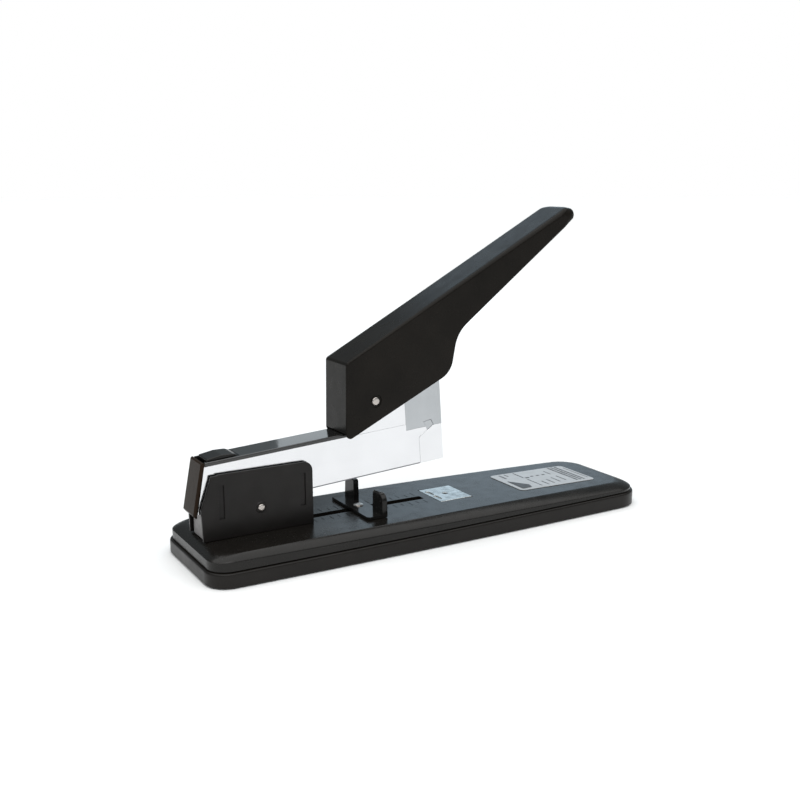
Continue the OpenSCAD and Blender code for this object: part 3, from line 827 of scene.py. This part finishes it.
stand_for(make_bracket(), "hinge_bracket", "root", BLACK_STEEL, 30)
spots = [(x, 0) for x in BRACKET_RIVETS]
studs = make_rivets("bracket_studs", spots, ROW, 3.6, 2.1, 6.6, FOOT_Z + 1.5, 1.1)
stand_for(studs, "bracket_rivets", "root", ZINC)
hinge = make_cross_pin("hinge_rivet", ROW, (HINGE_X, 0, HINGE_Z), 1.9, BRACKET_HALF + 0.7, 0.4)
stand_for(hinge, "hinge_pin", "root", NICKEL)
stand_for(make_lift_spring(), "lift_spring", "root", SPRING_STEEL)
finish_node("rest_stop", GREY_STEEL, 0.25)
finish_node("hinge_bush", BRASS)

# ---------------------------------------------------------------- paper guide

GUIDE_LOW, GUIDE_HIGH = size_of("guide_plate")
RIVET_X = (GUIDE_LOW.x + GUIDE_HIGH.x) / 2 - 0.1


def make_guide():
    half = GUIDE_HIGH.y
    base = plate("guide_saddle", round_path([(GUIDE_LOW.x, -half, 2), (GUIDE_HIGH.x, -half, 0.4),
                                             (GUIDE_HIGH.x, half, 0.4), (GUIDE_LOW.x, half, 2)]),
                 -GUIDE_LOW.z - 1.5, -GUIDE_LOW.z)
    base.data.transform(Matrix.Rotation(math.radians(90), 4, "X"))
    base.data.transform(Matrix.Scale(-1, 4, (0, 0, 1)))
    edit(base, lambda bm: None)
    walls = []
    for way in (-1, 1):
        outline = round_path([(11, GUIDE_LOW.z + 0.2, 0), (half - 0.02, GUIDE_LOW.z + 0.2, 0),
                              (half - 0.02, GUIDE_HIGH.z, 4.5), (11, GUIDE_HIGH.z, 1.5)])
        wall = plate("wall", outline, -GUIDE_HIGH.x + 0.02, -GUIDE_HIGH.x + 3.2, ROW,
                     lambda y, z: z > GUIDE_LOW.z + 1, 0.7, 4)
        wall.data.transform(Matrix.Rotation(math.radians(90), 4, "Z"))
        if way < 0:
            wall.data.transform(Matrix.Scale(-1, 4, (0, 1, 0)))
            edit(wall, lambda bm: None)
        walls.append(wall)
    join(base, *walls)
    cut(base, rod("hole", ROW, (RIVET_X, 0, 5), (0, 0, 1), 2.05, 20))
    return soften(base, 0.3, 2, 50)


def make_guide_rivet():
    low = GUIDE_LOW.z
    profile = [(0, low - 4.6), (2, low - 4.6), (2, low + 1.5), (2.7, low + 1.5), (2.75, low + 1.65),
               (2.6, low + 2.0), (2.0, low + 2.3), (1.2, low + 2.4), (0.9, low + 2.2), (0, low + 2.15)]
    return lathe("guide_stud", profile, turned(ROW, (RIVET_X, 0, 0), (0, 0, 1)))


stand_for(make_guide(), "guide_plate", "paper_guide", GLOSS_PLASTIC, 30)
stand_for(make_guide_rivet(), "guide_rivet", "paper_guide", NICKEL)
finish_node("guide_washer", ZINC)

# ---------------------------------------------------------------- arm

WEB_V = 26.9
FLOOR_V = 2.9
NOSE_U = 114.2
FLANGE_U = 99.0
RAIL_V = 17.2
ROD_V = 21.4
WIRE = 0.65
STRIP_U = NOSE_U - 2.7
STRIP_LENGTH = 45
PUSHER_REAR = STRIP_U - STRIP_LENGTH - 15.3
PLUG_U = -12
BUTTON_U = -17.5


def make_staples():
    """A glued strip of separate staples."""
    count = int(STRIP_LENGTH / WIRE)
    legs_low = RAIL_V + WIRE - 13
    staples = []
    for k in range(count):
        front = STRIP_U - k * WIRE - 0.02
        outline = round_path([(-6.5, legs_low, 0), (-5.85, legs_low, 0), (-5.85, RAIL_V + 0.01, 0.3),
                              (5.85, RAIL_V + 0.01, 0.3), (5.85, legs_low, 0), (6.5, legs_low, 0),
                              (6.5, RAIL_V + WIRE, 0.6), (-6.5, RAIL_V + WIRE, 0.6)], 3)
        staple = plate("staple", outline, -front, -front + WIRE - 0.05)
        staple.data.transform(Matrix.Rotation(math.radians(90), 4, "Z"))
        staples.append(staple)
    strip = gather("staples", staples)
    strip.data.transform(ARM @ ROW.inverted())
    return strip


def make_end_cap():
    outline = round_path([(-33.5, FLOOR_V, 0), (-27.5, WEB_V, 0), (-27.0, STRIP_TOP, 0.4),
                          (-28.8, STRIP_TOP, 0.8), (-35.0, 5.4, 0.8), (-35.7, 2.6, 0.7),
                          (-34.6, 0.8, 0.4), (-33.7, 0.8, 0.2)])
    cap = plate("end_cap", outline, -ARM_HALF, ARM_HALF, ARM, lambda u, v: u < -28.2, 0.8, 5)
    plug = plate("plug", [(-31.3, 18.2), (PLUG_U, 18.2), (PLUG_U, 24.3), (-29.6, 24.3)], -6.5, 6.5, ARM)
    cut(plug, rod("bore", ARM, (-26, 0, ROD_V), (1, 0, 0), 1.5, 40))
    return gather("end_cap", [cap, plug])


def make_button():
    outline = round_path([(-25.2, 28.6, 0), (-8.2, 28.6, 0), (-8.2, 29.3, 0.5), (-11, 30.5, 3),
                          (-17, 31.0, 9), (-25.2, 30.1, 0.8)])
    button = plate("catch_button", outline, -6.4, 6.4, ARM, lambda u, v: v > 29, 0.9, 5)
    well = rod("well", ARM, (BUTTON_U, 0, 28), (0, 0, 1), 3.2, 2.1)
    cut(button, well)
    stem = rod("stem", ARM, (BUTTON_U, 0, WEB_V - 0.8), (0, 0, 1), 1.8, 3.5)
    return join(button, stem)


def make_strip():
    low = WEB_V + 0.02
    outline = round_path([(-27.3, low, 0), (56, low, 0), (56, STRIP_TOP, 0.8), (-26.8, STRIP_TOP, 0)])
    strip = plate("top_band", outline, -ARM_HALF, ARM_HALF, ARM, lambda u, v: v > STRIP_TOP - 0.5, 0.7, 4)
    cut(strip, block("bay", -40, BUTTON_U + 10, -6.8, 6.8, 20, 40, ARM))
    return soften(strip, 0.15, 2, 60)


def make_lock_tabs():
    """The lanced tongues that lock the head housing to the nose plate, one on each side."""
    tabs = []
    for way in (-1, 1):
        outline = round_path([(102.55, 26.45, 0.3), (107.35, 26.85, 0.3), (108.85, 23.72, 0.3),
                              (104.62, 21.35, 0.4)])
        ends = sorted((way * (ARM_HALF - 1.1), way * (ARM_HALF - 0.12)))
        tabs.append(plate("tab", outline, *ends, ARM, lambda u, v: True, 0.15, 3))
    return gather("lock_tabs", tabs)


def make_painted_shade_edges():
    """Painted shade: a thin dark strip along the bottom of each side of the arm, up to the nose plate,
    standing in for the shadow and dark reflection under its lower edge.
    """
    edges = []
    for way in (-1, 1):
        ends = sorted((way * (ARM_HALF - 0.95), way * (ARM_HALF + 0.04)))
        outline = round_path([(-32.8, FLOOR_V - 0.1, 0.1), (FLANGE_U - 0.3, FLOOR_V - 0.1, 0.1),
                              (FLANGE_U - 0.3, FLOOR_V + 0.5, 0.1), (-32.6, FLOOR_V + 0.5, 0.1)])
        edges.append(plate("painted_shade_edge", outline, *ends, ARM))
    return gather("painted_shade_edges", edges)


def add_coil(name, node, body, start, direction, radius, wire_radius, turns, length):
    place = turned(ARM, start, direction)
    coil = wire(name, helix(radius, turns, length), wire_radius, place, 8)
    return stand_for(coil, node, body, SPRING_STEEL)


def shorten(coil):
    """Gives a coil its own copy of its mesh."""
    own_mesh(coil)


def make_springs():
    seat = (105.9, 0, WEB_V - 0.7)
    low, high = size_of("return_spring")
    length = high.z - low.z - 0.9
    coil = add_coil("return_coil", "return_spring", "arm", seat, (0, 0, 1), 2.6, 0.4, 4, length)
    shorten(coil)

    seat = (BUTTON_U, 0, WEB_V + 0.3)
    coil = add_coil("button_coil", "button_spring", "arm", seat, (0, 0, 1), 2.6, 0.25, 3, 2.6)
    shorten(coil)

    seat = (PLUG_U + 0.4, 0, ROD_V)
    length = PUSHER_REAR - PLUG_U - 0.8
    coil = add_coil("pusher_coil", "pusher_spring", "magazine", seat, (1, 0, 0), 2.3, 0.3, 20, length)
    shorten(coil)


stand_for(make_strip(), "top_strip", "arm", STRIP_PLASTIC, 30)
stand_for(make_staples(), "staple_strip", "arm", STAPLE_WIRE)
add_detail(make_lock_tabs(), "arm", HEAD_CHROME)
# painted shade: dark strips along the bottom of the arm's sides
add_detail(make_painted_shade_edges(), "arm", DARK_STEEL)
stand_for(make_end_cap(), "rear_cap", "magazine", CAP_PLASTIC, 30)
stand_for(make_button(), "release_button", "button", GLOSS_PLASTIC, 30)
studs = make_rivets("yoke_studs", [(62, 0), (84, 0)], ARM, 3, 1.8, WEB_V, WEB_V + 1.2, 1.0)
stand_for(studs, "yoke_rivets", "arm", ZINC)
pivot = make_cross_pin("pivot_rivet", ARM, (70.5, 0, 44.9), 2.2, HANDLE_HALF + 0.3, 0.4)
stand_for(pivot, "handle_pin", "arm", NICKEL)
make_springs()
finish_node("arm_channel", CHROME, 0.35)
finish_node("pivot_yoke", CHROME, 0.3)
finish_node("nose_plate", CHROME, 0.25)
finish_node("head_housing", HEAD_CHROME, 0.3)
finish_node("inner_channel", ZINC)
finish_node("magazine_rail", ZINC, 0.2)
finish_node("pivot_spacers", BRASS)
finish_node("guide_rod", ZINC)
finish_node("pusher", DARK_STEEL, 0.4)

# ---------------------------------------------------------------- driver

finish_node("driver_blade", SPRING_STEEL, 0.15)
finish_node("driver_block", DARK_STEEL, 0.3)
finish_node("driver_rivets", ZINC)

# ---------------------------------------------------------------- handle

HANDLE_LENGTH = 168.6
HANDLE_TOP = 27.5
HANDLE_OUTLINE = [(-25.6, -9.6, 2.5), (-4.9, HANDLE_TOP, 2.2), (HANDLE_LENGTH - 7, HANDLE_TOP, 7),
                  (HANDLE_LENGTH - 1.8, HANDLE_TOP - 4, 3), (HANDLE_LENGTH - 1.8, 19.3, 3),
                  (HANDLE_LENGTH - 12, 17.9, 10), (62.2, 4.3, 20), (47.9, -13.2, 13)]
TIP_RADIUS = 7.5
TIP_RUN = 24


def handle_rims(s, t):
    """Rim radius over TIP_RADIUS: small at the rear and on top, growing towards the tip, none below."""
    towards_tip = max(0, min(1, (s - 20) / (HANDLE_LENGTH - 20)))
    under = 4.3 + (s - 62.2) * 0.144
    if s > HANDLE_LENGTH - 6:
        return 2.2 / TIP_RADIUS
    if t > max(under + 4, 12):
        return (1.0 + 2.0 * towards_tip) / TIP_RADIUS
    if s < -3 and t > -7.5:
        return 0.6 / TIP_RADIUS
    if s > HANDLE_LENGTH - 30:
        return 0.9 / TIP_RADIUS
    return 0


def round_tip(skin):
    """Draws the tip's sides back, so that its end is rounded in plan."""
    start = HANDLE_LENGTH - TIP_RUN
    inverse = HANDLE.inverted()
    for vertex in skin.data.vertices:
        point = inverse @ vertex.co
        depth = HANDLE_HALF - abs(point.y)
        if point.x > start and depth < TIP_RADIUS:
            point.x = start + (point.x - start) * (1 - rim_inset(TIP_RADIUS, max(0, depth)) / TIP_RUN)
            vertex.co = HANDLE @ point


def make_handle():
    skin = plate("handle_skin", round_path(HANDLE_OUTLINE, 12), -HANDLE_HALF, HANDLE_HALF, HANDLE,
                 handle_rims, TIP_RADIUS, 14)
    round_tip(skin)
    inner_top = HANDLE_TOP - HANDLE_SHEET
    inner_end = HANDLE_LENGTH - 9
    space = plate("space", round_path([(-40, -50, 0), (-40, 1.5, 0), (-22.4, -6.6, 0), (-4, inner_top, 1.4),
                                       (inner_end, inner_top, 2), (inner_end, -50, 0)]),
                  HANDLE_SHEET - HANDLE_HALF, HANDLE_HALF - HANDLE_SHEET, HANDLE,
                  lambda s, t: t > 5 and s > -14, 1.6, 3)
    cut(skin, space)
    holes = [rod("hole", HANDLE, (0, -20, 0), (0, 1, 0), 2.25, 40)]
    for way in (-1, 1):
        holes.append(rod("seat", HANDLE, (0, way * (HANDLE_HALF - 0.5), 0), (0, way, 0), 3.7, 3))
    cut(skin, *holes)
    return soften(skin, 0.3, 3, 55)


stand_for(make_handle(), "handle_shell", "handle", HANDLE_PAINT, 30)
finish_node("handle_lever", DARK_STEEL, 0.4)
finish_node("lever_rivets", ZINC)
finish_node("drive_pin", ZINC)

# ---------------------------------------------------------------- studio


def make_floor():
    """Wide pale floor."""
    floor = rod("floor", ROW, (0, 0, -20.02), (0, 0, 1), 9000, 20, 96)
    paint = material("floor paint", (0.9, 0.9, 0.9), 0.9, mottle=0.004, mottle_size=400, swing=0.02)
    floor.data.materials.append(paint)


def area_lamp(name, size, power, colour):
    """Rectangular lamp, put into the scene at the origin."""
    lamp = bpy.data.lights.new(name, "AREA")
    lamp.shape = "RECTANGLE"
    lamp.size, lamp.size_y = size
    lamp.energy = power
    lamp.color = colour
    holder = bpy.data.objects.new(name, lamp)
    bpy.context.scene.collection.objects.link(holder)
    return holder


def make_light(name, place, aim, size, power, colour=(1, 1, 1)):
    holder = area_lamp(name, size, power, colour)
    holder.location = place
    holder.rotation_euler = (Vector(aim) - Vector(place)).to_track_quat("-Z", "Y").to_euler()


def make_card(name, middle, lean, size, power, colour):
    """Soft card behind the stapler, upright and leaning sideways, seen only in what its tops reflect."""
    holder = area_lamp(name, size, power, colour)
    upright = Matrix.Rotation(math.radians(-90), 4, "X")
    holder.matrix_world = Matrix.Translation(middle) @ Matrix.Rotation(math.radians(-lean), 4, "Y") @ upright
    holder.visible_camera = False


def make_world():
    """White behind the stapler, and a dim cool surround for what its surfaces reflect."""
    world = bpy.data.worlds.new("studio")
    bpy.context.scene.world = world
    world.use_nodes = True
    nodes = world.node_tree.nodes
    links = world.node_tree.links
    surround = nodes["Background"]
    surround.inputs["Color"].default_value = (0.82, 0.94, 1, 1)
    surround.inputs["Strength"].default_value = 0.24
    backdrop = nodes.new("ShaderNodeBackground")
    backdrop.inputs["Color"].default_value = (1, 1, 1, 1)
    backdrop.inputs["Strength"].default_value = 1
    rays = nodes.new("ShaderNodeLightPath")
    mix = nodes.new("ShaderNodeMixShader")
    links.new(rays.outputs["Is Camera Ray"], mix.inputs["Fac"])
    links.new(surround.outputs["Background"], mix.inputs[1])
    links.new(backdrop.outputs["Background"], mix.inputs[2])
    links.new(mix.outputs["Shader"], nodes["World Output"].inputs["Surface"])


def make_sun(name, direction, strength, softness, colour=(1, 1, 1)):
    lamp = bpy.data.lights.new(name, "SUN")
    lamp.energy = strength
    lamp.angle = math.radians(softness)
    lamp.color = colour
    holder = bpy.data.objects.new(name, lamp)
    holder.rotation_euler = Vector(direction).to_track_quat("-Z", "Y").to_euler()
    bpy.context.scene.collection.objects.link(holder)


def make_camera():
    yaw, pitch, roll = 0.525, 0.212, -0.003
    lens = bpy.data.cameras.new("camera")
    lens.sensor_width = 36
    lens.lens = 47.17
    lens.clip_start, lens.clip_end = 0.01, 50
    holder = bpy.data.objects.new("camera", lens)
    forward = Vector((math.sin(yaw) * math.cos(pitch), math.cos(yaw) * math.cos(pitch), -math.sin(pitch)))
    aim = forward.to_track_quat("-Z", "Y").to_matrix().to_4x4()
    place = Matrix.Translation((-0.30133, -0.49902, 0.19994))
    holder.matrix_world = place @ aim @ Matrix.Rotation(roll, 4, "Z")
    bpy.context.scene.collection.objects.link(holder)
    bpy.context.scene.camera = holder


make_floor()
make_world()
make_sun("sky", (0.1, 0.25, -1), 3.15, 100, (1, 0.99, 0.975))
make_light("window", (-0.5, -0.9, 1.5), (0, 0, 0.05), (0.9, 0.6), 3)
make_card("blue_card", (0.626, 1.0, 0.82), 35.5, (0.8, 1.4), 2.9, (0.66, 0.84, 1))
make_card("strip_card", (0.0105, 0.15, 0.112), 0, (0.079, 0.03), 0.0058, (0.88, 0.95, 1))
make_camera()
bpy.context.scene.view_settings.view_transform = "Standard"
